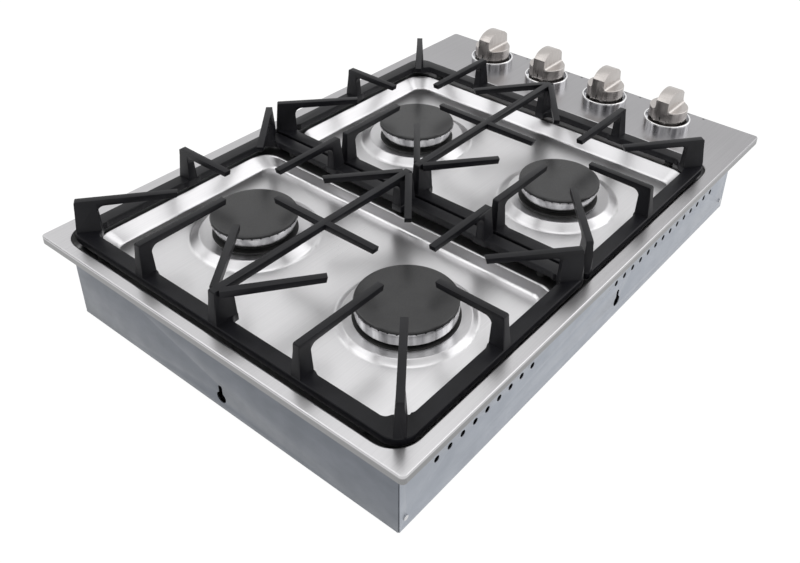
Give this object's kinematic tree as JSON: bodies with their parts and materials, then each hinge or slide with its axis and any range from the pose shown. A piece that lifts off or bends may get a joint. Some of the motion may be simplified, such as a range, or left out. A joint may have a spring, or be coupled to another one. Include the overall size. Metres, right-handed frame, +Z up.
{
  "type": "gas cooktop",
  "caption": "Drop-in gas cooktop: pressed steel top with sunken pans over a burner box, capped ring burners, cast pan supports and a column of push-and-turn knobs.",
  "frame": {"origin": "middle of the top's outline, on the underside of the burner box", "axes": "+Z up, +Y to the back, +X to the knob side"},
  "size_m": [0.762, 0.5334, 0.1655],
  "materials": {
    "brushed_steel": "brushed",
    "galvanised_steel": "satin galvanised",
    "cast_iron": "matt enamel",
    "cap_enamel": "satin enamel",
    "crown_aluminium": "as cast",
    "cup_aluminium": "dark oxidised",
    "satin_nickel": "satin",
    "bright_chrome": "polished",
    "brass": "machined",
    "tube_aluminium": "drawn",
    "spring_steel": "drawn wire",
    "ceramic": "glazed ceramic",
    "black_rubber": "matt",
    "grey_foam": "foam",
    "black_plastic": "moulded",
    "white_silicone": "silicone"
  },
  "bodies": {
    "chassis": {"top_plate": "brushed_steel", "box_tray": "galvanised_steel", "front_panel": "galvanised_steel", "back_panel": "galvanised_steel", "box_rivets": "galvanised_steel", "rail_left": "galvanised_steel", "rail_right": "galvanised_steel", "manifold": "tube_aluminium", "manifold_brackets": "galvanised_steel", "tube_nuts": "brass", "injectors": "brass", "electrodes": "ceramic", "spark_module": "black_plastic", "spark_leads": "white_silicone", "cable_gland": "black_rubber", "rim_seal": "grey_foam", "cup_left_back": "cup_aluminium", "valve_left_back": "brass", "tube_left_back": "tube_aluminium", "bezel_left_back": "bright_chrome", "spring_left_back": "spring_steel", "cup_right_back": "cup_aluminium", "valve_right_back": "brass", "tube_right_back": "tube_aluminium", "bezel_right_back": "bright_chrome", "spring_right_back": "spring_steel", "cup_right_front": "cup_aluminium", "valve_right_front": "brass", "tube_right_front": "tube_aluminium", "bezel_right_front": "bright_chrome", "spring_right_front": "spring_steel", "cup_left_front": "cup_aluminium", "valve_left_front": "brass", "tube_left_front": "tube_aluminium", "bezel_left_front": "bright_chrome", "spring_left_front": "spring_steel"},
    "support_left": {"grate_left": "cast_iron", "grate_feet_left": "black_rubber"},
    "support_right": {"grate_right": "cast_iron", "grate_feet_right": "black_rubber"},
    "crown_left_back": {"crown_left_back": "crown_aluminium"},
    "cap_left_back": {"cap_left_back": "cap_enamel"},
    "press_left_back": {"collar_left_back": "brass"},
    "knob_left_back": {"knob_left_back": "satin_nickel", "stem_left_back": "brass"},
    "crown_right_back": {"crown_right_back": "crown_aluminium"},
    "cap_right_back": {"cap_right_back": "cap_enamel"},
    "press_right_back": {"collar_right_back": "brass"},
    "knob_right_back": {"knob_right_back": "satin_nickel", "stem_right_back": "brass"},
    "crown_right_front": {"crown_right_front": "crown_aluminium"},
    "cap_right_front": {"cap_right_front": "cap_enamel"},
    "press_right_front": {"collar_right_front": "brass"},
    "knob_right_front": {"knob_right_front": "satin_nickel", "stem_right_front": "brass"},
    "crown_left_front": {"crown_left_front": "crown_aluminium"},
    "cap_left_front": {"cap_left_front": "cap_enamel"},
    "press_left_front": {"collar_left_front": "brass"},
    "knob_left_front": {"knob_left_front": "satin_nickel", "stem_left_front": "brass"}
  },
  "joints": [
    {"name": "support_left_lift", "type": "slide", "parent": "chassis", "child": "support_left", "axis": [0, 0, 1], "range_m": [0, 0.1]},
    {"name": "support_right_lift", "type": "slide", "parent": "chassis", "child": "support_right", "axis": [0, 0, 1], "range_m": [0, 0.1]},
    {"name": "crown_left_back_lift", "type": "slide", "parent": "chassis", "child": "crown_left_back", "axis": [0, 0, 1], "range_m": [0, 0.012]},
    {"name": "cap_left_back_lift", "type": "slide", "parent": "crown_left_back", "child": "cap_left_back", "axis": [0, 0, 1], "range_m": [0, 0.018]},
    {"name": "knob_left_back_press", "type": "slide", "parent": "chassis", "child": "press_left_back", "axis": [0, 0, -1], "range_m": [0, 0.004], "stiffness_N_per_m": 2000, "springref_m": -0.003, "deforming": ["spring_left_back"]},
    {"name": "knob_left_back_turn", "type": "hinge", "parent": "press_left_back", "child": "knob_left_back", "pos_m": [0.3282, 0.154, 0.13], "axis": [0, 0, 1], "range_deg": [0, 210]},
    {"name": "crown_right_back_lift", "type": "slide", "parent": "chassis", "child": "crown_right_back", "axis": [0, 0, 1], "range_m": [0, 0.012]},
    {"name": "cap_right_back_lift", "type": "slide", "parent": "crown_right_back", "child": "cap_right_back", "axis": [0, 0, 1], "range_m": [0, 0.018]},
    {"name": "knob_right_back_press", "type": "slide", "parent": "chassis", "child": "press_right_back", "axis": [0, 0, -1], "range_m": [0, 0.004], "stiffness_N_per_m": 2000, "springref_m": -0.003, "deforming": ["spring_right_back"]},
    {"name": "knob_right_back_turn", "type": "hinge", "parent": "press_right_back", "child": "knob_right_back", "pos_m": [0.3282, 0.0526, 0.13], "axis": [0, 0, 1], "range_deg": [0, 210]},
    {"name": "crown_right_front_lift", "type": "slide", "parent": "chassis", "child": "crown_right_front", "axis": [0, 0, 1], "range_m": [0, 0.012]},
    {"name": "cap_right_front_lift", "type": "slide", "parent": "crown_right_front", "child": "cap_right_front", "axis": [0, 0, 1], "range_m": [0, 0.018]},
    {"name": "knob_right_front_press", "type": "slide", "parent": "chassis", "child": "press_right_front", "axis": [0, 0, -1], "range_m": [0, 0.004], "stiffness_N_per_m": 2000, "springref_m": -0.003, "deforming": ["spring_right_front"]},
    {"name": "knob_right_front_turn", "type": "hinge", "parent": "press_right_front", "child": "knob_right_front", "pos_m": [0.3282, -0.0488, 0.13], "axis": [0, 0, 1], "range_deg": [0, 210]},
    {"name": "crown_left_front_lift", "type": "slide", "parent": "chassis", "child": "crown_left_front", "axis": [0, 0, 1], "range_m": [0, 0.012]},
    {"name": "cap_left_front_lift", "type": "slide", "parent": "crown_left_front", "child": "cap_left_front", "axis": [0, 0, 1], "range_m": [0, 0.018]},
    {"name": "knob_left_front_press", "type": "slide", "parent": "chassis", "child": "press_left_front", "axis": [0, 0, -1], "range_m": [0, 0.004], "stiffness_N_per_m": 2000, "springref_m": -0.003, "deforming": ["spring_left_front"]},
    {"name": "knob_left_front_turn", "type": "hinge", "parent": "press_left_front", "child": "knob_left_front", "pos_m": [0.3282, -0.1502, 0.13], "axis": [0, 0, 1], "range_deg": [0, 210]}
  ]
}
